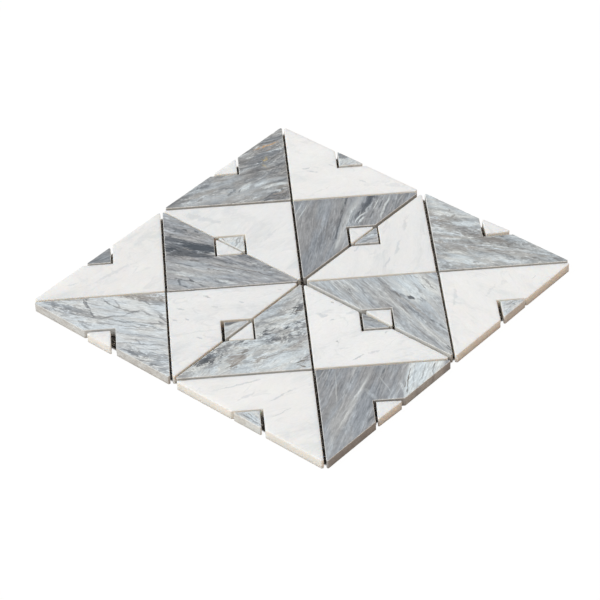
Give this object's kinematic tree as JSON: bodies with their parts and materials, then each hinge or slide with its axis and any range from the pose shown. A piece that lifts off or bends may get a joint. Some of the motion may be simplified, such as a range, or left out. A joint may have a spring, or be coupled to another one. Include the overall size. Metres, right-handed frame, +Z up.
{
  "type": "marble mosaic tile",
  "caption": "Square mesh-mounted mosaic sheet of white and grey marble triangles with small square accents, laid on the diagonal with open joints.",
  "frame": {"origin": "centre of the underside of the backing net, where the sheet lies on the floor", "axes": "+Z up out of the polished face; +X and +Y along the sheet's sides, +X along the weft yarns and +Y along the warp yarns"},
  "size_m": [0.305, 0.305, 0.0086],
  "materials": {
    "white_marble": "honed",
    "grey_marble": "honed",
    "net": "coated yarn"
  },
  "bodies": {
    "root": {"centre_white_1": "white_marble", "centre_white_insert_1": "white_marble", "centre_grey_1": "grey_marble", "centre_grey_insert_1": "grey_marble", "edge_white_1": "white_marble", "edge_white_insert_1": "white_marble", "edge_grey_1": "grey_marble", "edge_grey_insert_1": "grey_marble", "centre_white_2": "white_marble", "centre_white_insert_2": "white_marble", "centre_grey_2": "grey_marble", "centre_grey_insert_2": "grey_marble", "edge_white_2": "white_marble", "edge_white_insert_2": "white_marble", "edge_grey_2": "grey_marble", "edge_grey_insert_2": "grey_marble", "centre_white_3": "white_marble", "centre_white_insert_3": "white_marble", "centre_grey_3": "grey_marble", "centre_grey_insert_3": "grey_marble", "edge_white_3": "white_marble", "edge_white_insert_3": "white_marble", "edge_grey_3": "grey_marble", "edge_grey_insert_3": "grey_marble", "centre_white_4": "white_marble", "centre_white_insert_4": "white_marble", "centre_grey_4": "grey_marble", "centre_grey_insert_4": "grey_marble", "edge_white_4": "white_marble", "edge_white_insert_4": "white_marble", "edge_grey_4": "grey_marble", "edge_grey_insert_4": "grey_marble", "net_warp": "net", "net_weft": "net"}
  },
  "joints": []
}
